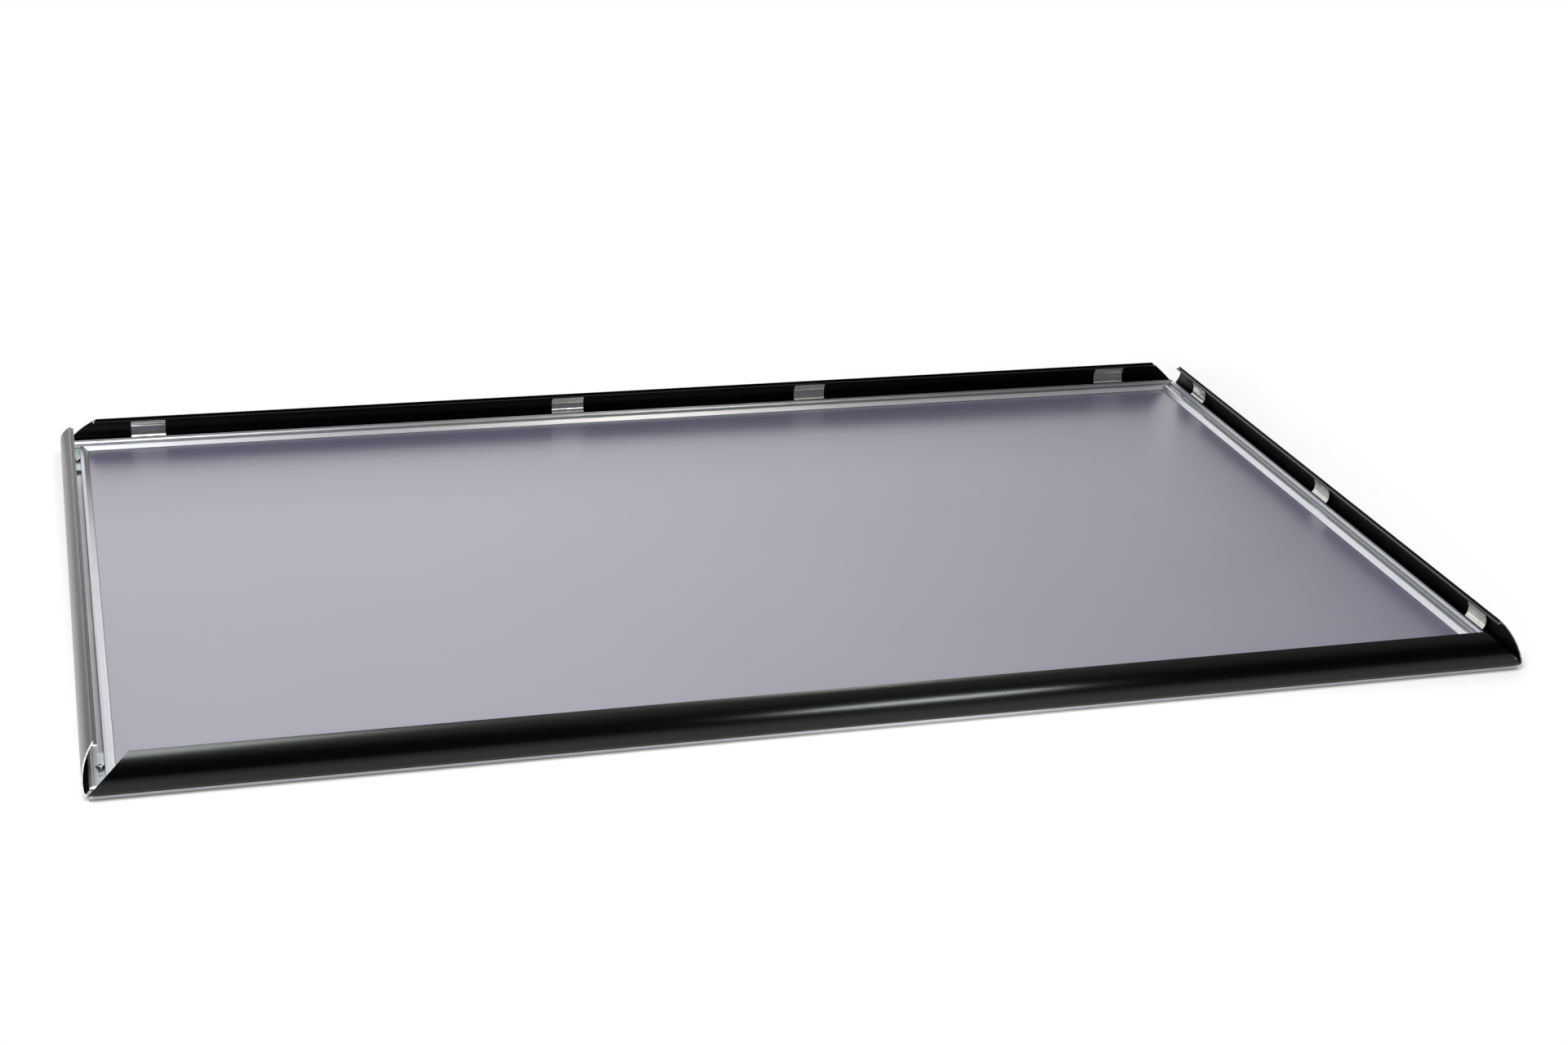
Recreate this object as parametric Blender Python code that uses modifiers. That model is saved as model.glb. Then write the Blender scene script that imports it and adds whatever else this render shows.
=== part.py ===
"""Front-opening poster frame with four mitred, spring-loaded cover rails.

The frame lies face up on its back. The origin is the centre of the back face, X runs along the
long rails, Y along the short rails and Z up, out of the picture face. Lengths are in metres.

Every rail is drawn as a cross-section in its own frame: "depth" is the distance inwards from the
outer edge of the frame, "height" the distance up from the back face. A cover's section is drawn
as it lies when shut, and the cover is then turned about its hinge to the angle it rests at.
"""
import math

import bmesh
import bpy
from mathutils import Matrix, Vector

MM = 0.001
FULL_TURN = 2 * math.pi

# Picture sheet and clearances
SHEET_LENGTH = 914.4 * MM
SHEET_WIDTH = 609.6 * MM
SHEET_THICKNESS = 0.5 * MM
SHEET_CORNER_RADIUS = 4 * MM
SHEET_SIDE_CLEARANCE = 0.3 * MM
SEAT_GAP = 0.3 * MM
MITRE_GAP = 0.3 * MM
CUTTER_OVERRUN = 2 * MM

# Backing board, tucked under the ledge of the base rails
BACKING_THICKNESS = 1.6 * MM
BACKING_EDGE_GAP = 1.3 * MM
BACKING_CORNER_RADIUS = 2 * MM

# Base rail section
RAIL_WIDTH = 25 * MM
FOOT_SETBACK = 0.9 * MM
FLOOR_THICKNESS = 1.2 * MM
FLANGE_LAP = 4.5 * MM
WEB_THICKNESS = 1 * MM
WALL_GAP = 0.6 * MM
WALL_THICKNESS = 2 * MM
LIP_THICKNESS = 0.8 * MM
OUTER_LIP_REACH = 3.1 * MM
INNER_LIP_REACH = 0.3 * MM
CHANNEL_WIDTH = 7.4 * MM
LEDGE_HEIGHT = 6.9 * MM
LEDGE_FLAT = 1.4 * MM
LEDGE_WALL = 0.9 * MM
LEDGE_REACH = 4.9 * MM
POCKET_STEP = 0.9 * MM

# Hinge: a bead along the cover's outer edge turns in a groove of the base rail
HINGE_HEIGHT = 4.65 * MM
BEAD_RADIUS = 1.1 * MM
BEAD_SINK = 0.15 * MM
HINGE_CLEARANCE = 0.3 * MM
FOOT_DROP = 2.15 * MM
GROOVE_LOW_ANGLE = math.radians(-62)
GROOVE_HIGH_ANGLE = math.radians(95)
OPEN_STOP = math.radians(80)
LONG_COVER_OPEN = math.radians(69)
SHORT_COVER_OPEN = math.radians(75.5)

# Cover rail section, as it lies when shut. A rise is a height above the hinge
COVER_WALL = 0.85 * MM
CROWN_RISE = 6.35 * MM
SHOULDER_RISE = 1.6 * MM
SHOULDER_RADIUS = 3 * MM
NOSE_RISE = 2.25 * MM
NOSE_LENGTH = 1.5 * MM
SKIRT_RISE = 0.25 * MM
WALL_CLEARANCE = 0.3 * MM
RELIEF_MARGIN = 0.6 * MM

# Leaf springs clipped inside the covers
SPRING_WIDTH = 26.5 * MM
SPRING_THICKNESS = 0.45 * MM
SPRING_FLAT_REACH = 1.7 * MM
SPRING_CREASE_PITCH = 1.95 * MM
SPRING_CREASE_HEIGHT = 0.5 * MM
SPRING_CREASES = 2
SPRING_WAIST_REACH = 1.5 * MM
SPRING_WAIST_SAG = 0.3 * MM
SPRING_FOLD_REACH = 3.5 * MM
SPRING_FOLD_SAG = 1.45 * MM
SPRING_LEAF_BOW = 0.45 * MM

# Corner brackets and their clamping screws
BRACKET_LEG = 60 * MM
BRACKET_THICKNESS = 1.8 * MM
BRACKET_SIDE_GAP = 0.3 * MM
SCREW_FROM_CORNER = 38 * MM
SCREW_SHANK_RADIUS = 1.5 * MM
SCREW_HEAD_RADIUS = 2.5 * MM
SCREW_HEAD_HEIGHT = 2 * MM
SCREW_EDGE_BREAK = 0.4 * MM
SCREW_SOCKET_RADIUS = 1.3 * MM
SCREW_SOCKET_DEPTH = 1.1 * MM
SCREW_NOTCH_CLEARANCE = 0.5 * MM
BRACKET_MARK_FROM_CORNER = 27 * MM
BRACKET_MARK_LENGTH = 2.4 * MM
BRACKET_MARK_WIDTH = 0.9 * MM

# Wall screw holes in the channel floor of the long rails
WALL_HOLE_RADIUS = 2.25 * MM
WALL_HOLE_SHARE = 0.25

# Counts and places along the rails, as shares of the rail's length from its middle
ARC_STEPS = 10
CROWN_STEPS = 14
BEAD_STEPS = 14
ROUND_STEPS = 20
CORNER_STEPS = 6
SOCKET_SIDES = 6
HALVINGS = 50
FRONT_SPRING_SHARES = (-0.4325, -0.145, 0.145, 0.4325)
BACK_SPRING_SHARES = (0.4316, 0.0757, -0.144, -0.4327)
LEFT_SPRING_SHARES = (-0.4, 0, 0.4)
RIGHT_SPRING_SHARES = (-0.4, 0.008, 0.405)

# Sizes worked out from the ones above
HINGE_DEPTH = COVER_WALL + BEAD_RADIUS - BEAD_SINK
GROOVE_RADIUS = BEAD_RADIUS + HINGE_CLEARANCE
CHANNEL_START = HINGE_DEPTH + GROOVE_RADIUS + WEB_THICKNESS
CHANNEL_END = CHANNEL_START + CHANNEL_WIDTH
SCREW_DEPTH = CHANNEL_END - SEAT_GAP - SCREW_HEAD_RADIUS
POCKET_START = CHANNEL_END + WEB_THICKNESS
LEDGE_INNER_EDGE = POCKET_START + LEDGE_REACH
FRAME_LENGTH = SHEET_LENGTH + 2 * (SHEET_SIDE_CLEARANCE + LEDGE_INNER_EDGE)
FRAME_WIDTH = SHEET_WIDTH + 2 * (SHEET_SIDE_CLEARANCE + LEDGE_INNER_EDGE)
BACKING_BOTTOM = FLOOR_THICKNESS + SEAT_GAP
BACKING_TOP = BACKING_BOTTOM + BACKING_THICKNESS
SHEET_BOTTOM = BACKING_TOP + SEAT_GAP
SHEET_TOP = SHEET_BOTTOM + SHEET_THICKNESS
BRACKET_BOTTOM = FLOOR_THICKNESS + SEAT_GAP
BRACKET_TOP = BRACKET_BOTTOM + BRACKET_THICKNESS
LIP_BOTTOM = BRACKET_TOP + SEAT_GAP
LIP_TOP = LIP_BOTTOM + LIP_THICKNESS
SCREW_HEAD_BOTTOM = BRACKET_TOP + SEAT_GAP
SCREW_HEAD_TOP = SCREW_HEAD_BOTTOM + SCREW_HEAD_HEIGHT
FOOT_HEIGHT = HINGE_HEIGHT - FOOT_DROP
WALL_SETBACK = COVER_WALL + WALL_GAP
CROWN_HEIGHT = HINGE_HEIGHT + CROWN_RISE
NOSE_HEIGHT = HINGE_HEIGHT + NOSE_RISE
RELIEF_LENGTH = HINGE_DEPTH + BEAD_RADIUS + RELIEF_MARGIN
RELIEF_TOP = HINGE_HEIGHT + HINGE_DEPTH * math.tan(OPEN_STOP / 2) + SEAT_GAP
LEG_BOTTOM = SHEET_TOP + SEAT_GAP
LEG_INNER = RAIL_WIDTH - NOSE_LENGTH
LEG_OUTER = LEG_INNER - COVER_WALL


def arc(centre, radius, start, end, steps):
    """Points along a circular arc in the section plane, both ends included."""
    points = []
    for step in range(steps + 1):
        angle = start + (end - start) * step / steps
        points.append((centre[0] + radius * math.cos(angle), centre[1] + radius * math.sin(angle)))
    return points


def shoulder_circle():
    """Centre of the shoulder arc, which joins the upright skirt to the crown."""
    return SHOULDER_RADIUS, HINGE_HEIGHT + SHOULDER_RISE


def crown_reach(radius):
    """How far inwards a crown of this radius carries from the shoulder's centre to the nose."""
    fall = CROWN_HEIGHT - NOSE_HEIGHT
    drop = CROWN_HEIGHT - shoulder_circle()[1]
    outer = (drop - SHOULDER_RADIUS) * (2 * radius - SHOULDER_RADIUS - drop)
    return math.sqrt(outer), math.sqrt(fall * (2 * radius - fall))


def crown_circle():
    """Centre and radius of the crown, which is tangent to the shoulder and ends at the nose."""
    low = CROWN_RISE
    high = RAIL_WIDTH * RAIL_WIDTH / CROWN_RISE
    for _ in range(HALVINGS):
        radius = (low + high) / 2
        if sum(crown_reach(radius)) < RAIL_WIDTH - SHOULDER_RADIUS:
            low = radius
        else:
            high = radius
    return (SHOULDER_RADIUS + crown_reach(radius)[0], CROWN_HEIGHT - radius), radius


def crown_angle(depth, inset):
    """Angle on the crown, drawn in by an inset, at which it passes a depth."""
    centre, radius = crown_circle()
    return math.acos((depth - centre[0]) / (radius - inset))


def shoulder_angle():
    """Angle at which the shoulder arc passes over into the crown."""
    centre, radius = crown_circle()
    shoulder = shoulder_circle()
    return math.atan2(shoulder[1] - centre[1], shoulder[0] - centre[0])


def cover_skin(inset, depth_start):
    """The crown and shoulder drawn in by an inset, from a depth near the nose out to the skirt."""
    centre, radius = crown_circle()
    turn = shoulder_angle()
    crown = arc(centre, radius - inset, crown_angle(depth_start, inset), turn, CROWN_STEPS)
    shoulder = arc(shoulder_circle(), SHOULDER_RADIUS - inset, turn, math.pi, ARC_STEPS)
    return crown + shoulder[1:]


def cover_section():
    """Section of a shut cover: nose, crown, shoulder, skirt with hinge bead, and pressing leg."""
    hinge = (HINGE_DEPTH, HINGE_HEIGHT)
    outer = cover_skin(0, RAIL_WIDTH)
    inner = cover_skin(COVER_WALL, LEG_OUTER)
    bead_low = math.pi + math.acos((HINGE_DEPTH - COVER_WALL) / BEAD_RADIUS)
    bead_high = math.pi - math.acos((HINGE_DEPTH - COVER_WALL) / BEAD_RADIUS)
    bead = arc(hinge, BEAD_RADIUS, bead_low, FULL_TURN + bead_high, BEAD_STEPS)
    nose_angle = crown_angle(LEG_INNER, COVER_WALL)
    centre, radius = crown_circle()
    nose_root = arc(centre, radius - COVER_WALL, nose_angle, nose_angle, 1)[0]
    nose_under = (RAIL_WIDTH - COVER_WALL / 2, NOSE_HEIGHT - COVER_WALL / 2)
    leg = [(LEG_OUTER, LEG_BOTTOM), (LEG_INNER, LEG_BOTTOM)]
    return outer + [(0, HINGE_HEIGHT + SKIRT_RISE)] + bead + inner[::-1] + leg + [nose_root, nose_under]


def base_section():
    """Section of a base rail: foot, flange, ledge, bracket channel and the hinge wall."""
    hinge = (HINGE_DEPTH, HINGE_HEIGHT)
    groove = arc(hinge, GROOVE_RADIUS, GROOVE_HIGH_ANGLE, GROOVE_LOW_ANGLE, BEAD_STEPS)
    slope_start = POCKET_START + LEDGE_FLAT
    flange_end = LEDGE_INNER_EDGE + FLANGE_LAP
    step_bottom = BACKING_TOP + SEAT_GAP
    step_top = step_bottom + POCKET_STEP
    ledge_under = LEDGE_HEIGHT - LEDGE_WALL
    wall_inner = WALL_SETBACK + WALL_THICKNESS
    foot = [(FOOT_SETBACK, FOOT_HEIGHT), (FOOT_SETBACK, 0), (flange_end, 0), (flange_end, FLOOR_THICKNESS)]
    ledge = [
        (POCKET_START, FLOOR_THICKNESS),
        (POCKET_START, ledge_under),
        (slope_start - LEDGE_WALL, ledge_under),
        (LEDGE_INNER_EDGE - LEDGE_WALL, step_bottom),
        (LEDGE_INNER_EDGE, step_bottom),
        (LEDGE_INNER_EDGE, step_top),
        (slope_start, LEDGE_HEIGHT),
        (CHANNEL_END, LEDGE_HEIGHT),
    ]
    channel = [
        (CHANNEL_END, LIP_TOP),
        (CHANNEL_END - INNER_LIP_REACH, LIP_TOP),
        (CHANNEL_END - INNER_LIP_REACH, LIP_BOTTOM),
        (CHANNEL_END, LIP_BOTTOM),
        (CHANNEL_END, FLOOR_THICKNESS),
        (CHANNEL_START, FLOOR_THICKNESS),
        (CHANNEL_START, LIP_BOTTOM),
        (CHANNEL_START + OUTER_LIP_REACH, LIP_BOTTOM),
        (CHANNEL_START + OUTER_LIP_REACH, LIP_TOP),
        (CHANNEL_START, LIP_TOP),
        (CHANNEL_START, HINGE_HEIGHT + GROOVE_RADIUS),
        (wall_inner, HINGE_HEIGHT + GROOVE_RADIUS + WEB_THICKNESS),
    ]
    wall_low = HINGE_HEIGHT + GROOVE_RADIUS + HINGE_CLEARANCE
    wall = wall_cap(wall_inner) + [(WALL_SETBACK, wall_low)]
    return foot + ledge + channel + wall + groove + [(HINGE_DEPTH, FOOT_HEIGHT)]


def wall_cap(wall_inner):
    """Rounded top of the hinge wall, which follows the inside of the shut cover at a clearance."""
    inset = COVER_WALL + WALL_CLEARANCE
    centre, radius = crown_circle()
    shoulder = shoulder_circle()
    small = SHOULDER_RADIUS - inset
    turn = shoulder_angle()
    crown = arc(centre, radius - inset, crown_angle(wall_inner, inset), turn, 2)
    outer_angle = math.pi - math.acos((shoulder[0] - WALL_SETBACK) / small)
    return crown + arc(shoulder, small, turn, outer_angle, ARC_STEPS)[1:]


def spring_path():
    """Middle line of a leaf spring inside a shut cover: creases below the leg, then the leaf."""
    centre, radius = crown_circle()
    run = radius - COVER_WALL - SEAT_GAP - SPRING_THICKNESS / 2
    angle = math.acos((LEG_OUTER - SEAT_GAP - SPRING_THICKNESS - centre[0]) / run)
    points = [polar(centre, run, angle)]
    angle += SPRING_FLAT_REACH / run
    points.append(polar(centre, run, angle))
    for number in range(2 * SPRING_CREASES - 1):
        angle += SPRING_CREASE_PITCH / run
        trough = SPRING_CREASE_HEIGHT if number % 2 == 0 else 0
        points.append(polar(centre, run - trough, angle))
    angle += SPRING_WAIST_REACH / run
    points.append(polar(centre, run - SPRING_WAIST_SAG, angle))
    angle += SPRING_FOLD_REACH / run
    fold = Vector(polar(centre, run - SPRING_FOLD_SAG, angle))
    toe = Vector(spring_toe())
    outward = (toe - fold).orthogonal().normalized()
    if outward[0] > 0:
        outward = -outward
    for step in range(CORNER_STEPS + 1):
        share = step / CORNER_STEPS
        bow = 4 * share * (1 - share) * SPRING_LEAF_BOW
        points.append(tuple(fold.lerp(toe, share) + outward * bow))
    return points


def spring_toe():
    """Lower end of a spring in a shut cover, which swings clear of the wall and stays above the lip."""
    wall_corner = wall_cap(WALL_SETBACK + WALL_THICKNESS)[0]
    reach = math.dist(wall_corner, (HINGE_DEPTH, HINGE_HEIGHT)) + SEAT_GAP + SPRING_THICKNESS / 2
    height = LIP_TOP + SEAT_GAP + SPRING_THICKNESS / 2
    return HINGE_DEPTH + math.sqrt(reach**2 - (height - HINGE_HEIGHT) ** 2), height


def polar(centre, radius, angle):
    """One point on a circle."""
    return centre[0] + radius * math.cos(angle), centre[1] + radius * math.sin(angle)


def strip_section(path, thickness):
    """Closed outline of a strip of even thickness along a path."""
    left = []
    right = []
    for index, point in enumerate(path):
        before = Vector(path[max(index - 1, 0)])
        after = Vector(path[min(index + 1, len(path) - 1)])
        here = Vector(point)
        normal = (after - before).normalized().orthogonal()
        if 0 < index < len(path) - 1:
            one = (here - before).normalized()
            two = (after - here).normalized()
            normal = (one.orthogonal() + two.orthogonal()).normalized()
            normal /= max(normal.dot(one.orthogonal()), 1 / 2)
        left.append(here + normal * thickness / 2)
        right.append(here - normal * thickness / 2)
    return [tuple(p) for p in left] + [tuple(p) for p in reversed(right)]


def material(name, colour, roughness, metallic):
    """A Principled material."""
    found = bpy.data.materials.new(name)
    found.use_nodes = True
    shader = found.node_tree.nodes["Principled BSDF"]
    shader.inputs["Base Color"].default_value = (*colour, 1)
    shader.inputs["Roughness"].default_value = roughness
    shader.inputs["Metallic"].default_value = metallic
    found.diffuse_color = (*colour, 1)
    return found


def flat_solid(outlines, thickness):
    """Mesh of a flat plate: the first outline is its edge and the others are holes."""
    curve = bpy.data.curves.new("outline", "CURVE")
    curve.dimensions = "2D"
    curve.fill_mode = "BOTH"
    curve.extrude = thickness / 2
    for outline in outlines:
        spline = curve.splines.new("POLY")
        spline.points.add(len(outline) - 1)
        for point, (x, y) in zip(spline.points, outline):
            point.co = (x, y, 0, 1)
        spline.use_cyclic_u = True
    source = bpy.data.objects.new("outline", curve)
    bpy.context.scene.collection.objects.link(source)
    graph = bpy.context.evaluated_depsgraph_get()
    mesh = bpy.data.meshes.new_from_object(source.evaluated_get(graph))
    bpy.data.objects.remove(source)
    shape = bmesh.new()
    shape.from_mesh(mesh)
    bmesh.ops.remove_doubles(shape, verts=shape.verts, dist=MM / 1000)
    bmesh.ops.recalc_face_normals(shape, faces=shape.faces)
    shape.to_mesh(mesh)
    shape.free()
    return mesh


def rail_solid(section, length):
    """Mesh of a straight rail: X along it, Y the depth and Z the height of its section."""
    mesh = flat_solid([section], length)
    mesh.transform(Matrix(((0, 0, 1, 0), (1, 0, 0, 0), (0, 1, 0, 0), (0, 0, 0, 1))))
    return mesh


def mitre_ends(mesh, length):
    """Slides both end faces of a rail back to the 45 degree planes of the frame's corners."""
    for vertex in mesh.vertices:
        reach = length / 2 - MITRE_GAP / 2 - vertex.co.y
        vertex.co.x = math.copysign(reach, vertex.co.x)


def place(name, mesh, parent, look, collection):
    """Puts a mesh into the scene as a named sub-part."""
    thing = bpy.data.objects.new(name, mesh)
    if not mesh.materials:
        mesh.materials.append(look)
    thing.parent = parent
    collection.objects.link(thing)
    return thing


def empty(name, matrix, parent, collection):
    """An axis or corner that sub-parts hang from."""
    mark = bpy.data.objects.new(name, None)
    mark.empty_display_size = RAIL_WIDTH
    collection.objects.link(mark)
    mark.parent = parent
    mark.matrix_local = matrix
    return mark


def cylinder_mesh(radius, low, high, sides):
    """Mesh of an upright cylinder between two heights."""
    shape = bmesh.new()
    middle = Matrix.Translation((0, 0, (low + high) / 2))
    bmesh.ops.create_cone(
        shape, cap_ends=True, segments=sides, radius1=radius, radius2=radius, depth=high - low, matrix=middle
    )
    mesh = bpy.data.meshes.new("cylinder")
    shape.to_mesh(mesh)
    shape.free()
    return mesh


def box_mesh(low, high):
    """Mesh of a box between two corners."""
    shape = bmesh.new()
    size = Vector(high) - Vector(low)
    middle = (Vector(high) + Vector(low)) / 2
    bmesh.ops.create_cube(shape, size=1, matrix=Matrix.Translation(middle) @ Matrix.Diagonal((*size, 1)))
    mesh = bpy.data.meshes.new("box")
    shape.to_mesh(mesh)
    shape.free()
    return mesh


def cut(target, name, mesh, location, parent, cutters):
    """Subtracts a mesh, placed in the target's own frame, from the target."""
    tool = bpy.data.objects.new(name, mesh)
    cutters.objects.link(tool)
    tool.parent = parent
    tool.location = location
    tool.hide_render = True
    tool.display_type = "WIRE"
    step = target.modifiers.new(name, "BOOLEAN")
    step.operation = "DIFFERENCE"
    step.solver = "EXACT"
    step.object = tool


def smooth(mesh):
    """Shades the curved faces of a mesh smooth and keeps its real edges sharp."""
    mesh.shade_smooth()
    mesh.set_sharp_from_angle(angle=math.radians(35))


def rail_frames():
    """For each side: where its rail's middle lies, its turn about Z, its length and its looks."""
    half_length = FRAME_LENGTH / 2
    half_width = FRAME_WIDTH / 2
    return {
        "front": ((0, -half_width, 0), 0, FRAME_LENGTH, LONG_COVER_OPEN, FRONT_SPRING_SHARES),
        "right": ((half_length, 0, 0), math.pi / 2, FRAME_WIDTH, SHORT_COVER_OPEN, RIGHT_SPRING_SHARES),
        "back": ((0, half_width, 0), math.pi, FRAME_LENGTH, LONG_COVER_OPEN, BACK_SPRING_SHARES),
        "left": ((-half_length, 0, 0), -math.pi / 2, FRAME_WIDTH, SHORT_COVER_OPEN, LEFT_SPRING_SHARES),
    }


def build_base_rail(side, rail, length, looks, parts, cutters):
    """One mitred base rail with the screw notches in its lips and its wall screw holes."""
    mesh = rail_solid(base_section(), length)
    mitre_ends(mesh, length)
    smooth(mesh)
    base = place(f"base_rail_{side}", mesh, rail, looks["base"], parts)
    notch = cylinder_mesh(
        SCREW_HEAD_RADIUS + SCREW_NOTCH_CLEARANCE,
        BRACKET_TOP + SEAT_GAP / 2,
        LEDGE_HEIGHT + CUTTER_OVERRUN,
        ROUND_STEPS,
    )
    reach = length / 2 - SCREW_FROM_CORNER
    for end, sign in (("a", -1), ("b", 1)):
        cut(base, f"{side}_notch_{end}", notch, (sign * reach, SCREW_DEPTH, 0), rail, cutters)
    if side in ("front", "back"):
        hole = cylinder_mesh(WALL_HOLE_RADIUS, -CUTTER_OVERRUN, FLOOR_THICKNESS + CUTTER_OVERRUN, ROUND_STEPS)
        for end, sign in (("a", -1), ("b", 1)):
            spot = (sign * length * WALL_HOLE_SHARE, SCREW_DEPTH, 0)
            cut(base, f"{side}_wall_hole_{end}", hole, spot, rail, cutters)


def build_cover_rail(side, hinge, length, looks, parts, cutters):
    """One mitred cover rail, hung on its hinge axis, with its bead cut back at both ends."""
    mesh = rail_solid(cover_section(), length)
    mitre_ends(mesh, length)
    smooth(mesh)
    mesh.transform(Matrix.Translation((0, -HINGE_DEPTH, -HINGE_HEIGHT)))
    cover = place(f"cover_rail_{side}", mesh, hinge, looks["cover"], parts)
    low = (length / 2 - RELIEF_LENGTH, -HINGE_DEPTH - CUTTER_OVERRUN, -BEAD_RADIUS - CUTTER_OVERRUN)
    high = (length / 2 + CUTTER_OVERRUN, BEAD_RADIUS + CUTTER_OVERRUN, RELIEF_TOP - HINGE_HEIGHT)
    cut(cover, f"{side}_relief_b", box_mesh(low, high), (0, 0, 0), hinge, cutters)
    mirrored_low = (-high[0], low[1], low[2])
    mirrored_high = (-low[0], high[1], high[2])
    cut(cover, f"{side}_relief_a", box_mesh(mirrored_low, mirrored_high), (0, 0, 0), hinge, cutters)


def build_springs(side, hinge, length, shares, mesh, looks, parts):
    """The leaf springs of one cover, numbered along the rail."""
    for number, share in enumerate(sorted(shares), start=1):
        spring = place(f"spring_{side}_{number}", mesh, hinge, looks["spring"], parts)
        spring.location = (length * share, -HINGE_DEPTH, -HINGE_HEIGHT)


def bracket_outlines():
    """Outline of an L-shaped corner bracket seen from above, with its screw holes and marks."""
    low = CHANNEL_START + BRACKET_SIDE_GAP
    high = CHANNEL_END - BRACKET_SIDE_GAP
    edge = [(low, low), (BRACKET_LEG, low), (BRACKET_LEG, high)]
    edge += [(high, high), (high, BRACKET_LEG), (low, BRACKET_LEG)]
    hole_radius = SCREW_SHANK_RADIUS + SEAT_GAP
    outlines = [edge]
    half = BRACKET_MARK_LENGTH / 2
    thin = BRACKET_MARK_WIDTH / 2
    for swap in (False, True):
        hole = arc((SCREW_FROM_CORNER, SCREW_DEPTH), hole_radius, 0, FULL_TURN, ROUND_STEPS)[:-1]
        centre = BRACKET_MARK_FROM_CORNER
        mark = [
            (centre - thin, SCREW_DEPTH - half),
            (centre + thin, SCREW_DEPTH - half),
            (centre + thin, SCREW_DEPTH + half),
            (centre - thin, SCREW_DEPTH + half),
        ]
        for outline in (hole, mark):
            outlines.append([(y, x) if swap else (x, y) for x, y in outline])
    return outlines


def screw_mesh():
    """A clamping screw: shank through the bracket, round head and a six-sided socket."""
    top = SCREW_HEAD_TOP
    profile = [
        (0, top),
        (SCREW_HEAD_RADIUS - SCREW_EDGE_BREAK, top),
        (SCREW_HEAD_RADIUS, top - SCREW_EDGE_BREAK),
        (SCREW_HEAD_RADIUS, SCREW_HEAD_BOTTOM),
        (SCREW_SHANK_RADIUS, SCREW_HEAD_BOTTOM),
        (SCREW_SHANK_RADIUS, BRACKET_BOTTOM + SCREW_EDGE_BREAK),
        (SCREW_SHANK_RADIUS - SCREW_EDGE_BREAK, BRACKET_BOTTOM),
        (0, BRACKET_BOTTOM),
    ]
    mesh = bpy.data.meshes.new("screw_profile")
    edges = [(index, index + 1) for index in range(len(profile) - 1)]
    mesh.from_pydata([(x, 0, z) for x, z in profile], edges, [])
    turned = bpy.data.objects.new("screw_profile", mesh)
    bpy.context.scene.collection.objects.link(turned)
    spin = turned.modifiers.new("turn", "SCREW")
    spin.steps = ROUND_STEPS
    spin.render_steps = ROUND_STEPS
    spin.use_merge_vertices = True
    spin.merge_threshold = MM / 1000
    recess = cylinder_mesh(SCREW_SOCKET_RADIUS, top - SCREW_SOCKET_DEPTH, top + CUTTER_OVERRUN, SOCKET_SIDES)
    socket = bpy.data.objects.new("socket", recess)
    bpy.context.scene.collection.objects.link(socket)
    step = turned.modifiers.new("socket", "BOOLEAN")
    step.solver = "EXACT"
    step.operation = "DIFFERENCE"
    step.object = socket
    graph = bpy.context.evaluated_depsgraph_get()
    solid = bpy.data.meshes.new_from_object(turned.evaluated_get(graph))
    bpy.data.objects.remove(turned)
    bpy.data.objects.remove(socket)
    smooth(solid)
    return solid


def build_corners(looks, parts):
    """The four corner brackets, each with two clamping screws."""
    corners = {
        "front_left": ((-1, -1), 0),
        "front_right": ((1, -1), math.pi / 2),
        "back_right": ((1, 1), math.pi),
        "back_left": ((-1, 1), -math.pi / 2),
    }
    plate = flat_solid(bracket_outlines(), BRACKET_THICKNESS)
    plate.transform(Matrix.Translation((0, 0, (BRACKET_BOTTOM + BRACKET_TOP) / 2)))
    screw = screw_mesh()
    for name, (signs, turn) in corners.items():
        place_at = Matrix.Translation((signs[0] * FRAME_LENGTH / 2, signs[1] * FRAME_WIDTH / 2, 0))
        corner = empty(f"corner_{name}", place_at @ Matrix.Rotation(turn, 4, "Z"), None, parts)
        place(f"corner_bracket_{name}", plate, corner, looks["bracket"], parts)
        for number, spot in enumerate(
            ((SCREW_FROM_CORNER, SCREW_DEPTH, 0), (SCREW_DEPTH, SCREW_FROM_CORNER, 0)), start=1
        ):
            fastener = place(f"bracket_screw_{name}_{number}", screw, corner, looks["screw"], parts)
            fastener.location = spot


def rounded_outline(length, width, radius):
    """A rectangle with rounded corners, centred on the origin."""
    points = []
    for quarter, (x_sign, y_sign) in enumerate(((1, 1), (-1, 1), (-1, -1), (1, -1))):
        centre = (x_sign * (length / 2 - radius), y_sign * (width / 2 - radius))
        start = quarter * math.pi / 2
        points += arc(centre, radius, start, start + math.pi / 2, CORNER_STEPS)
    return points


def build_sheets(looks, parts):
    """The backing board and the clear sheet that lies on it."""
    board_length = FRAME_LENGTH - 2 * (POCKET_START + BACKING_EDGE_GAP)
    board_width = FRAME_WIDTH - 2 * (POCKET_START + BACKING_EDGE_GAP)
    board = flat_solid([rounded_outline(board_length, board_width, BACKING_CORNER_RADIUS)], BACKING_THICKNESS)
    backing = place("backing_board", board, None, looks["backing"], parts)
    backing.location.z = (BACKING_BOTTOM + BACKING_TOP) / 2
    film = flat_solid([rounded_outline(SHEET_LENGTH, SHEET_WIDTH, SHEET_CORNER_RADIUS)], SHEET_THICKNESS)
    sheet = place("anti_glare_sheet", film, None, looks["sheet"], parts)
    sheet.location.z = (SHEET_BOTTOM + SHEET_TOP) / 2


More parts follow.
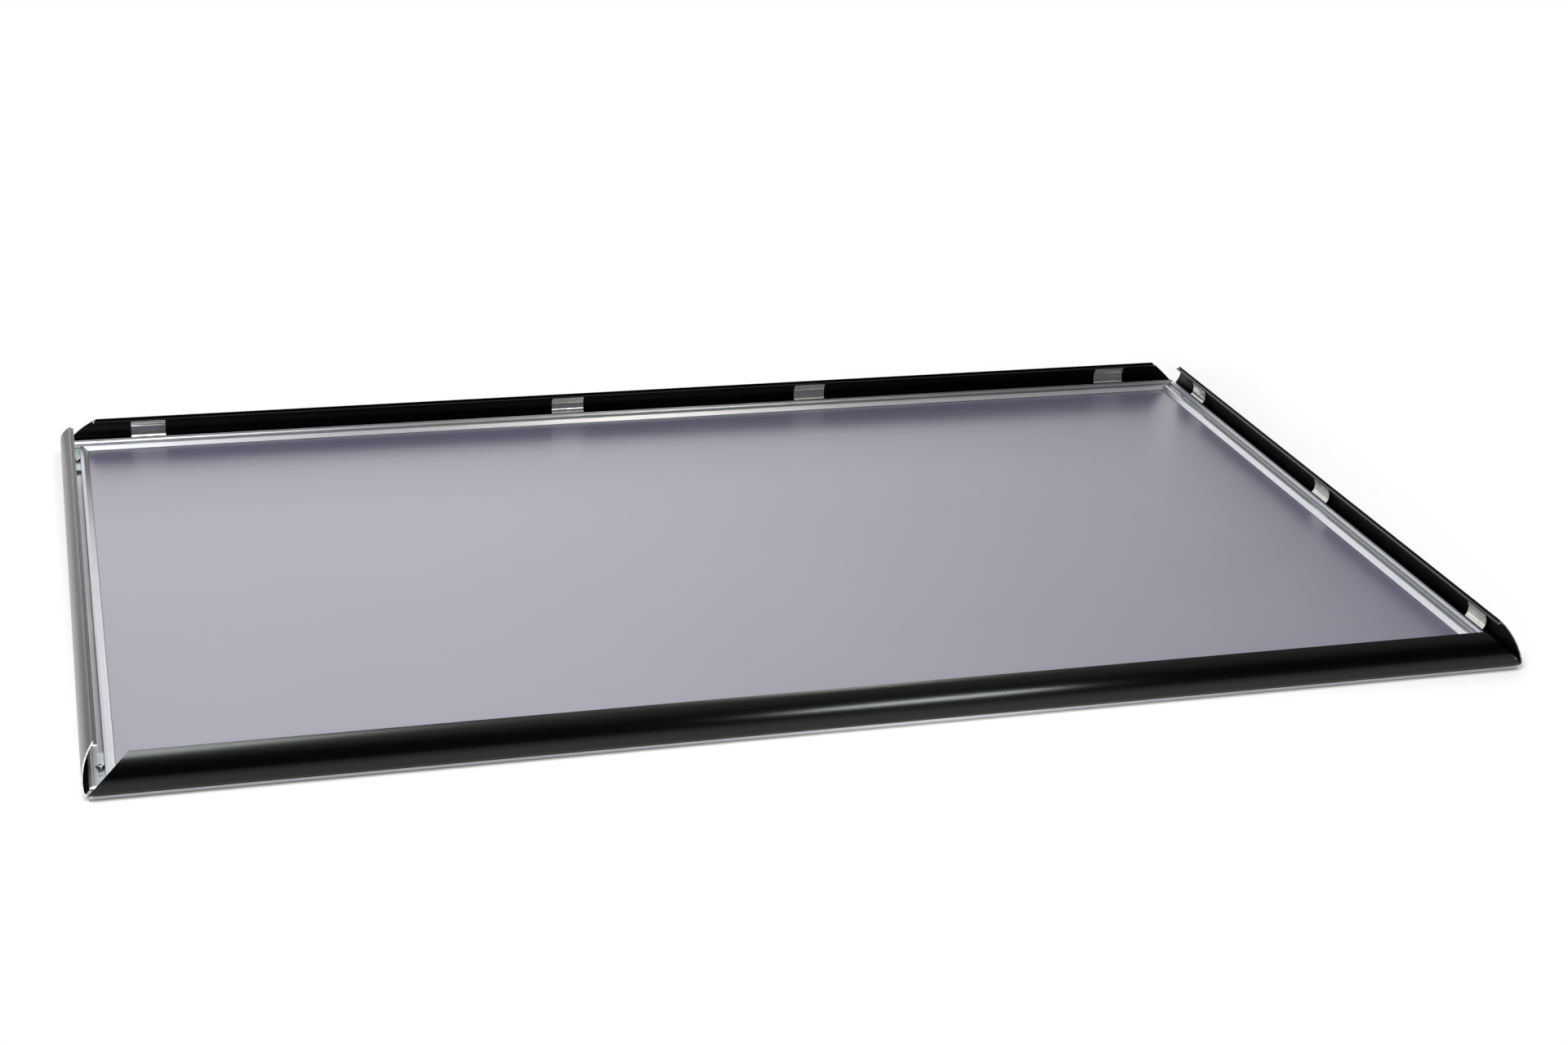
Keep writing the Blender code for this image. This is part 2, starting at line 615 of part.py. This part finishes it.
def build():
    """Builds the whole frame, resting with its four covers open."""
    for thing in list(bpy.data.objects):
        bpy.data.objects.remove(thing)
    parts = bpy.data.collections.new("poster_frame")
    cutters = bpy.data.collections.new("cutters")
    bpy.context.scene.collection.children.link(parts)
    bpy.context.scene.collection.children.link(cutters)
    looks = {
        "base": material("natural aluminium", (0.78, 0.79, 0.82), 0.32, 1),
        "cover": material("black anodised aluminium", (0.012, 0.013, 0.013), 0.34, 0.6),
        "spring": material("spring steel", (0.52, 0.5, 0.48), 0.28, 1),
        "bracket": material("zinc plated steel", (0.62, 0.7, 0.72), 0.35, 1),
        "screw": material("bright steel", (0.75, 0.75, 0.76), 0.2, 1),
        "backing": material("grey board", (0.35, 0.35, 0.38), 0.7, 0),
        "sheet": material("matt clear sheet", (0.42, 0.41, 0.47), 0.3, 0),
    }
    leaf = rail_solid(strip_section(spring_path(), SPRING_THICKNESS), SPRING_WIDTH)
    smooth(leaf)
    for side, (middle, turn, length, open_angle, shares) in rail_frames().items():
        rail_place = Matrix.Translation(middle) @ Matrix.Rotation(turn, 4, "Z")
        rail = empty(f"rail_{side}", rail_place, None, parts)
        swing = Matrix.Translation((0, HINGE_DEPTH, HINGE_HEIGHT)) @ Matrix.Rotation(open_angle, 4, "X")
        hinge = empty(f"hinge_{side}", swing, rail, parts)
        build_base_rail(side, rail, length, looks, parts, cutters)
        build_cover_rail(side, hinge, length, looks, parts, cutters)
        build_springs(side, hinge, length, shares, leaf, looks, parts)
    build_corners(looks, parts)
    build_sheets(looks, parts)


build()
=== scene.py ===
"""Looks of the front-opening poster frame: camera, floor, light and materials.

Every visible piece is a node of the CAD part, and none is added here. Lengths are in metres.
"""
import math

import bmesh
import bpy
from mathutils import Matrix, Vector

MM = 0.001
X, Y, Z = range(3)

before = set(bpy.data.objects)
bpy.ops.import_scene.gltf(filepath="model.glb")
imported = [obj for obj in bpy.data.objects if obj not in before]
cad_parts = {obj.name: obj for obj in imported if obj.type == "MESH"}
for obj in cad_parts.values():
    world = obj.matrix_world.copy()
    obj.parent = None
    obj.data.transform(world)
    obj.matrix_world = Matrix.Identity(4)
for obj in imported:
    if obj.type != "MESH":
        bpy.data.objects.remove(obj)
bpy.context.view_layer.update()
scene = bpy.context.scene
scene.view_settings.view_transform = "Standard"

# Camera, as it stood for the photograph. The focal length and the centre are in its pixels.
CAMERA_PLACE = (-0.46956, -1.89160, 0.75542)
CAMERA_RIGHT = (0.95258566, -0.30120821, 0.04306014)
CAMERA_DOWN = (-0.06824669, -0.34942436, -0.93447579)
CAMERA_AHEAD = (0.29651804, 0.88722953, -0.35341310)
FOCAL_PIXELS = 3428.0
IMAGE_WIDTH = 1920
IMAGE_HEIGHT = 1279
VIEW_CENTRE = (1162.5, 654.5)
SENSOR_MM = 36.0
NEAREST_SEEN = 0.05
FARTHEST_SEEN = 60

# Outline of the shut frame
LENGTH = 0.950
WIDTH = 0.6452

# The floor: how far it reaches to each side, and how far it lies below the frame
FLOOR_REACH = 12.0
FLOOR_BELOW = 0.3 * MM

# The floor's own white rises from a share of itself to all of it between these distances from the
# frame's outline, and mirrors show it dimmed by a share
SHADE_START = 4 * MM
SHADE_END = 110 * MM
WHITE_NEAR_FRAME = 0.25
WHITE_IN_MIRRORS = 0.56

# Mesh smoothing: points nearer than this are one, and edges sharper than this stay sharp
WELD = 0.002 * MM
SHARP_DEGREES = 32

# Rays for rounded edges and for the shade painted into crevices, and the openness that counts as shut in
# and as free
SIDE_RAYS = 6
OPENNESS = (0.4, 0.9)

# The span that a noise's values mostly cover, and the middle of it
MOST = (0.3, 0.7)
MIDDLE = (0.35, 0.65)

# Colours between which each material wanders
ALUMINIUM = (0.545, 0.565, 0.605, 1), (0.745, 0.755, 0.785, 1)
BLACK = (0.0007, 0.0009, 0.0009, 1), (0.0018, 0.0021, 0.0021, 1)
# Painted shade: the black of the covers' inner side
INNER_SHADE_BLACK = (0.0006, 0.0007, 0.0007, 1)
BLACK_SHEEN = (0.94, 1.0, 0.99, 1)
SPRING = (0.74, 0.72, 0.69, 1), (0.64, 0.61, 0.56, 1)
ZINC = (0.58, 0.69, 0.72, 1), (0.74, 0.77, 0.77, 1)
SCREW = (0.80, 0.80, 0.80, 1), (0.58, 0.58, 0.60, 1)
FILM = (0.148, 0.141, 0.208, 1), (0.159, 0.151, 0.222, 1)
BOARD = (0.15, 0.15, 0.16, 1), (0.24, 0.24, 0.255, 1)
ALL_WHITE = (1, 1, 1, 1)
ALL_BLACK = (0, 0, 0, 1)
WARM = (1.0, 0.93, 0.82)

# Brightness of the bare metal at the covers' saw-cut ends, and at the right cover's ones, painted darker as
# shade
BARE_END = (0.62, 0.86)
PAINTED_DARK_BARE_END = (0.10, 0.22)

# Which way the inner side of each open cover faces, where the covers get painted shade
INNER_FRONT = (0.0, 0.93, -0.36)
INNER_BACK = (0.0, -0.93, -0.36)
INNER_LEFT = (0.97, 0.0, -0.25)
INNER_RIGHT = (-0.97, 0.0, -0.25)


class Nodes:
    """A node tree with short ways to add and join nodes."""

    def __init__(self, tree):
        self.nodes = tree.nodes
        self.links = tree.links

    def add(self, kind, settings=None, **inputs):
        """Adds a node and fills its inputs."""
        made = self.nodes.new(kind)
        for key, value in (settings or {}).items():
            setattr(made, key, value)
        return self.fill(made, **inputs)

    def fill(self, node, **inputs):
        """Fills inputs by name, with _ for a space, or by number after one _."""
        for key, value in inputs.items():
            self.join(value, node.inputs[int(key[1:]) if key[0] == "_" else key.replace("_", " ")])
        return node

    def join(self, value, socket):
        """Joins a socket to an input, or sets the input's value."""
        if isinstance(value, bpy.types.NodeSocket):
            self.links.new(value, socket)
        else:
            socket.default_value = value

    def math(self, operation, one, two=0.0):
        return self.add("ShaderNodeMath", {"operation": operation}, _0=one, _1=two).outputs[0]

    def product(self, one, two):
        return self.math("MULTIPLY", one, two)

    def total(self, one, two):
        return self.math("ADD", one, two)

    def ramp(self, value, span, out=(0.0, 1.0), kind="LINEAR"):
        """Maps a value from one span to another and stops at its ends."""
        return self.add("ShaderNodeMapRange", {"interpolation_type": kind}, _0=value,
                        _1=span[0], _2=span[1], _3=out[0], _4=out[1]).outputs[0]

    def ease(self, value, span, out=(0.0, 1.0)):
        """A ramp that starts and ends gently."""
        return self.ramp(value, span, out, "SMOOTHSTEP")

    def parts(self, vector):
        return self.add("ShaderNodeSeparateXYZ", Vector=vector).outputs


class Tree(Nodes):
    """A material whose surface is one Principled shader."""

    def __init__(self, name):
        self.material = bpy.data.materials.new(name)
        self.material.use_nodes = True
        super().__init__(self.material.node_tree)
        self.shader = self.nodes["Principled BSDF"]
        self.output = self.nodes["Material Output"]
        place = self.add("ShaderNodeTexCoord").outputs
        self.object_place = place["Object"]
        self.object_normal = place["Normal"]

    def surface(self, **inputs):
        self.fill(self.shader, **inputs)

    def noise(self, scale, detail=2.0):
        """Noise in object space, with its own scale along X, Y and Z."""
        place = self.add("ShaderNodeMapping", Vector=self.object_place, Scale=scale).outputs[0]
        return self.add("ShaderNodeTexNoise", Vector=place, Scale=1.0, Detail=detail,
                        Roughness=0.5).outputs[0]

    def weighed(self, one, two, share):
        """Adds two values, the first with a share and the second with what is left of 1."""
        return self.total(self.product(one, share), self.product(two, 1.0 - share))

    def mix(self, share, one, two):
        """Mixes two colours."""
        return self.add("ShaderNodeMix", {"data_type": "RGBA"}, _0=share, _6=one, _7=two).outputs[2]

    def blend(self, noise, span, colours):
        """A colour that goes from the first to the second as a noise crosses a span."""
        return self.mix(self.ramp(noise, span), *colours)

    def bump(self, height, strength, distance, normal=None):
        under = {} if normal is None else {"Normal": normal}
        return self.add("ShaderNodeBump", Height=height, Strength=strength, Distance=distance,
                        **under).outputs[0]

    def rounded(self, radius):
        """A normal that rounds sharp edges over a radius."""
        return self.add("ShaderNodeBevel", {"samples": SIDE_RAYS}, Radius=radius).outputs[0]

    def shaded(self, colour, reach, dark):
        """A colour with painted shade, which falls to a dark share of itself in narrow corners."""
        corner = self.add("ShaderNodeAmbientOcclusion", {"samples": SIDE_RAYS}, Distance=reach)
        return self.mix(self.ramp(corner.outputs["AO"], OPENNESS, (dark, 1.0)), ALL_BLACK, colour)

    def across(self, axis):
        """How much the surface faces along one axis, without its sign."""
        normal = self.add("ShaderNodeNewGeometry").outputs["True Normal"]
        return self.math("ABSOLUTE", self.parts(normal)[axis])


def along(axis, lengthwise, crosswise):
    """Scales for noise that runs in lines along one axis."""
    return tuple(lengthwise if each == axis else crosswise for each in (X, Y, Z))


def even(scale):
    """Scales for noise that looks alike along all axes."""
    return (scale, scale, scale)


def grey(level):
    return (level, level, level, 1)


def extruded_aluminium(name, axis):
    """Satin silver extrusion with die lines along it, which spread highlights across the lines."""
    t = Tree(name)
    fine = t.noise(along(axis, 2.0, 2600.0), detail=3.0)
    broad = t.noise(along(axis, 0.5, 900.0))
    cloud = t.noise(even(14.0), detail=4.0)
    colour = t.blend(t.weighed(broad, cloud, 0.7), MOST, ALUMINIUM)
    length = t.add("ShaderNodeCombineXYZ", X=float(axis == X), Y=float(axis == Y)).outputs[0]
    lines = t.total(t.product(fine, 0.4), broad)
    t.surface(
        # Painted shade: the colour darkens in narrow corners within 2 mm
        Base_Color=t.shaded(colour, 2 * MM, dark=0.3),
        Metallic=0.85,
        Roughness=t.ramp(fine, MOST, (0.28, 0.38)),
        Anisotropic=0.88,
        Anisotropic_Rotation=0.25,
        Tangent=length,
        Normal=t.bump(lines, 0.6, 0.12 * MM, t.rounded(0.18 * MM)),
    )
    return t.material


def black_anodised(name, axis, inward, bare_end):
    """Satin black anodised extrusion with saw-cut ends of bare metal, and painted shade on its inner side,
    which is darker and reflects little.
    """
    t = Tree(name)
    fine = t.noise(along(axis, 3.0, 3000.0), detail=3.0)
    broad = t.noise(along(axis, 0.7, 380.0))
    dust = t.noise(even(900.0))
    saw = t.noise((60.0, 60.0, 2600.0), detail=3.0)
    t.surface(
        Base_Color=t.blend(broad, MOST, BLACK),
        Roughness=t.total(t.ramp(fine, MOST, (0.18, 0.23)), t.ramp(dust, (0.62, 0.8), (0.0, 0.06))),
        Specular_IOR_Level=0.41,
        Specular_Tint=BLACK_SHEEN,
        Normal=t.bump(fine, 0.1, 0.03 * MM, t.rounded(0.15 * MM)),
    )
    # Painted shade for the inner side: the same black, darker and with little reflection
    inner_painted_shade = t.add(
        "ShaderNodeBsdfPrincipled",
        Base_Color=INNER_SHADE_BLACK,
        Roughness=0.3,
        Specular_IOR_Level=0.07,
        Normal=t.bump(fine, 0.1, 0.03 * MM),
    )
    bare = t.add(
        "ShaderNodeBsdfPrincipled",
        Base_Color=t.blend(saw, MIDDLE, [grey(level) for level in bare_end]),
        Metallic=1.0,
        Roughness=t.ramp(saw, MOST, (0.28, 0.46)),
        Normal=t.bump(saw, 0.4, 0.08 * MM),
    )
    facing = t.add("ShaderNodeVectorMath", {"operation": "DOT_PRODUCT"}, _0=t.object_normal, _1=inward)
    # Share of painted shade, from how much the surface faces the cover's inner side
    inner = t.ramp(facing.outputs["Value"], (0.1, 0.3))
    skin = t.add("ShaderNodeMixShader", _0=inner, _1=t.shader.outputs[0], _2=inner_painted_shade.outputs[0])
    cut = t.ramp(t.across(axis), (0.35, 0.45))
    both = t.add("ShaderNodeMixShader", _0=cut, _1=skin.outputs[0], _2=bare.outputs[0])
    t.fill(t.output, Surface=both.outputs[0])
    return t.material


def spring_steel(name, axis):
    """Bright rolled strip, with faint rolling lines along the rail and a straw tint in places."""
    t = Tree(name)
    rolled = t.noise(along(axis, 60.0, 2400.0), detail=3.0)
    tint = t.noise(even(120.0), detail=3.0)
    t.surface(
        Base_Color=t.blend(tint, (0.4, 0.68), SPRING),
        Metallic=0.68,
        Roughness=t.ramp(rolled, MOST, (0.13, 0.21)),
        Normal=t.bump(rolled, 0.12, 0.03 * MM, t.rounded(0.12 * MM)),
    )
    return t.material


def zinc_plate(name):
    """Blue zinc plating, cloudy and slightly uneven in colour."""
    t = Tree(name)
    cloud = t.noise(even(160.0), detail=4.0)
    grain = t.noise(even(1800.0))
    t.surface(
        Base_Color=t.blend(cloud, MIDDLE, ZINC),
        Metallic=1.0,
        Roughness=t.ramp(grain, MOST, (0.30, 0.48)),
        Normal=t.bump(grain, 0.3, 0.05 * MM, t.rounded(0.15 * MM)),
    )
    return t.material


def turned_steel(name):
    """Bright screw steel with fine speckle and a little wear."""
    t = Tree(name)
    grain = t.noise(even(2400.0), detail=3.0)
    t.surface(
        Base_Color=t.blend(grain, (0.35, 0.7), SCREW),
        Metallic=1.0,
        Roughness=t.ramp(grain, MOST, (0.14, 0.3)),
        Normal=t.bump(grain, 0.2, 0.04 * MM, t.rounded(0.2 * MM)),
    )
    return t.material


def anti_glare_film(name):
    """Satin plastic sheet with a fine grain, whose shading lifts a little at the back left."""
    t = Tree(name)
    grain = t.noise(even(2600.0))
    cloud = t.noise(even(5.0), detail=3.0)
    wave = t.noise((9.0, 7.0, 9.0), detail=1.0)
    place = t.parts(t.object_place)
    toward_left = t.ease(place[X], (-0.4, 0.35), (11 * MM, 0.0))
    curl = t.product(toward_left, t.ease(place[Y], (0.14, 0.34)))
    lifted = t.bump(curl, 1.0, 1.0)
    wavy = t.bump(wave, 0.10, 0.6 * MM, lifted)
    t.surface(
        # Painted shade: the colour darkens a little in narrow corners at the sheet's edge
        Base_Color=t.shaded(t.blend(cloud, MIDDLE, FILM), 1 * MM, dark=0.8),
        Roughness=t.ramp(cloud, MOST, (0.23, 0.27)),
        IOR=1.5,
        Coat_Weight=1.0,
        Coat_Roughness=0.25,
        Normal=t.bump(grain, 0.12, 0.02 * MM, wavy),
    )
    return t.material


def grey_board(name):
    """Hard grey backing board with a matt fibrous face."""
    t = Tree(name)
    fibre = t.noise(along(X, 260.0, 900.0), detail=4.0)
    blotch = t.noise(even(30.0), detail=4.0)
    t.surface(
        Base_Color=t.blend(t.weighed(fibre, blotch, 0.6), MIDDLE, BOARD),
        Roughness=t.ramp(fibre, MOST, (0.6, 0.8)),
        Normal=t.bump(fibre, 0.4, 0.1 * MM),
    )
    return t.material


def smoothing_group():
    """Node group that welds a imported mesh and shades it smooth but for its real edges."""
    group = bpy.data.node_groups.new("weld and smooth", "GeometryNodeTree")
    for way in ("INPUT", "OUTPUT"):
        group.interface.new_socket("Geometry", in_out=way, socket_type="NodeSocketGeometry")
    n = Nodes(group)
    entry = n.add("NodeGroupInput").outputs[0]
    weld = n.add("GeometryNodeMergeByDistance", Geometry=entry, Distance=WELD).outputs[0]
    faces = n.add("GeometryNodeSetShadeSmooth", {"domain": "FACE"}, Geometry=weld, Shade_Smooth=True)
    angle = n.add("GeometryNodeInputMeshEdgeAngle").outputs["Unsigned Angle"]
    limit = math.radians(SHARP_DEGREES)
    sharp = n.add("FunctionNodeCompare", {"operation": "GREATER_THAN"}, _0=angle, _1=limit).outputs[0]
    edges = n.add("GeometryNodeSetShadeSmooth", {"domain": "EDGE"}, Geometry=faces.outputs[0],
                  Selection=sharp, Shade_Smooth=False)
    n.add("NodeGroupOutput", _0=edges.outputs[0])
    return group


def dress(looks):
    """Gives every CAD node its material and smooth shading."""
    group = smoothing_group()
    for name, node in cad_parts.items():
        stored = node.data.attributes.get("custom_normal")
        if stored:
            node.data.attributes.remove(stored)
        node.modifiers.new("smooth", "NODES").node_group = group
        node.material_slots[0].material = looks[look_of(name)]


def look_of(name):
    """The look that a CAD node takes, from its name."""
    axis = "x" if "front" in name or "back" in name else "y"
    if name.startswith("base_rail"):
        return "base_" + axis
    if name.startswith("cover_rail"):
        return name
    if name.startswith("spring"):
        return "spring_" + axis
    if name.startswith("corner_bracket"):
        return "bracket"
    if name.startswith("bracket_screw"):
        return "screw"
    return "board" if name == "backing_board" else "film"


def area_light(name, place, aim, size, power, colour=(1, 1, 1), shape="RECTANGLE"):
    """Adds a lamp at a place, turned to face what it aims at."""
    data = bpy.data.lights.new(name, "AREA")
    data.shape = shape
    data.size, data.size_y = size
    data.energy = power
    data.color = colour
    lamp = bpy.data.objects.new(name, data)
    lamp.location = place
    lamp.visible_camera = False
    lamp.rotation_mode = "QUATERNION"
    lamp.rotation_quaternion = (Vector(aim) - Vector(place)).to_track_quat("-Z", "Y")
    scene.collection.objects.link(lamp)
    return lamp


def keep_off(lamp, node):
    """Keeps a lamp's light off one piece, as a card on a stand does in a studio."""
    shaded = bpy.data.collections.new(f"{lamp.name} keeps off")
    shaded.objects.link(node)
    shaded.collection_objects[0].light_linking.link_state = "EXCLUDE"
    lamp.light_linking.receiver_collection = shaded


def past_outline(t, coordinate, half):
    """The square of how far a place lies beyond half the frame's length or width."""
    past = t.math("MAXIMUM", t.math("SUBTRACT", t.math("ABSOLUTE", coordinate), half), 0.0)
    return t.math("POWER", past, 2.0)


def build_floor():
    """White floor that keeps the shadow close to the frame and is plain white away from it."""
    t = Tree("floor white")
    place = t.parts(t.object_place)
    squared = t.total(past_outline(t, place[X], LENGTH / 2), past_outline(t, place[Y], WIDTH / 2))
    away = t.math("SQRT", squared)
    ray = t.add("ShaderNodeLightPath").outputs
    seen = t.math("MAXIMUM", ray["Is Camera Ray"], t.product(ray["Is Glossy Ray"], WHITE_IN_MIRRORS))
    white = t.ease(away, (SHADE_START, SHADE_END), (WHITE_NEAR_FRAME, 1.0))
    t.surface(
        Base_Color=t.mix(white, ALL_WHITE, ALL_BLACK),
        Roughness=0.9,
        Specular_IOR_Level=0.0,
        Emission_Color=ALL_WHITE,
        Emission_Strength=t.product(seen, white),
    )
    shape = bmesh.new()
    bmesh.ops.create_grid(shape, x_segments=1, y_segments=1, size=FLOOR_REACH)
    mesh = bpy.data.meshes.new("floor")
    shape.to_mesh(mesh)
    shape.free()
    mesh.materials.append(t.material)
    floor = bpy.data.objects.new("floor", mesh)
    floor.location = (0, 0, -FLOOR_BELOW)
    scene.collection.objects.link(floor)


def build_studio():
    """World that is bright behind the frame and dark on the camera's side, white to the camera."""
    world = bpy.data.worlds.new("studio")
    scene.world = world
    world.use_nodes = True
    n = Nodes(world.node_tree)
    x, y, z = n.parts(n.add("ShaderNodeTexCoord").outputs["Generated"])
    east = n.ease(x, (0.1, 0.6), (1.0, 0.13))
    west = n.ease(x, (-0.9, 0.05), (0.55, 1.0))
    rise = n.ease(z, (0.25, 0.6), (0.92, 1.04))
    fade = n.ease(z, (0.6, 0.95), (1.0, 0.2))
    behind = n.ease(y, (0.1, 0.7), (0.0, 1.29))
    glow = n.product(n.product(east, west), n.product(rise, fade))
    horizon = n.ease(z, (0.08, 0.3), (1.4, 0.0))
    wall = n.product(behind, n.math("MAXIMUM", glow, horizon))
    ceiling = n.ease(z, (0.5, 0.95), (0.015, 0.4))
    camera_ray = n.add("ShaderNodeLightPath").outputs["Is Camera Ray"]
    level = n.add("ShaderNodeMix", {"data_type": "FLOAT"}, _0=camera_ray, _2=n.total(wall, ceiling), _3=1.0)
    n.fill(n.nodes["Background"], Color=ALL_WHITE, Strength=level.outputs[0])


def build_lamps():
    """Two lamps above, and a low one in front whose light stays off the sheet."""
    area_light("softbox above", place=(-0.85, -0.92, 2.27), aim=(-0.1, -0.1, 0), size=(1.35, 1.1),
               power=47.0)
    area_light("warm lamp above", place=(0.47, -0.52, 2.2), aim=(0.0, 0.3, 0), size=(0.10, 0.7),
               power=7.0, colour=WARM)
    strip = area_light("strip in front", place=(0.146, -0.657, 0.142), aim=(0.05, -0.337, 0.02),
                       size=(0.22, 0.05), power=0.52, shape="ELLIPSE")
    keep_off(strip, bpy.data.objects["anti_glare_sheet"])


def build_camera():
    data = bpy.data.cameras.new("camera")
    data.sensor_width = SENSOR_MM
    data.lens = FOCAL_PIXELS * SENSOR_MM / IMAGE_WIDTH
    data.shift_x = (IMAGE_WIDTH / 2 - VIEW_CENTRE[0]) / IMAGE_WIDTH
    data.shift_y = (VIEW_CENTRE[1] - IMAGE_HEIGHT / 2) / IMAGE_WIDTH
    data.clip_start = NEAREST_SEEN
    data.clip_end = FARTHEST_SEEN
    camera = bpy.data.objects.new("camera", data)
    right, down, ahead = Vector(CAMERA_RIGHT), Vector(CAMERA_DOWN), Vector(CAMERA_AHEAD)
    turn = Matrix((right, -down, -ahead)).transposed()
    camera.matrix_world = Matrix.Translation(CAMERA_PLACE) @ turn.to_4x4()
    scene.collection.objects.link(camera)
    scene.camera = camera


def build():
    dress({
        "base_x": extruded_aluminium("natural aluminium x", X),
        "base_y": extruded_aluminium("natural aluminium y", Y),
        "cover_rail_front": black_anodised("black anodised front", X, INNER_FRONT, BARE_END),
        "cover_rail_back": black_anodised("black anodised back", X, INNER_BACK, BARE_END),
        "cover_rail_left": black_anodised("black anodised left", Y, INNER_LEFT, BARE_END),
        "cover_rail_right": black_anodised("black anodised right", Y, INNER_RIGHT, PAINTED_DARK_BARE_END),
        "spring_x": spring_steel("spring steel x", X),
        "spring_y": spring_steel("spring steel y", Y),
        "bracket": zinc_plate("zinc plate"),
        "screw": turned_steel("bright steel"),
        "board": grey_board("grey board"),
        "film": anti_glare_film("anti-glare film"),
    })
    build_floor()
    build_studio()
    build_lamps()
    build_camera()


build()
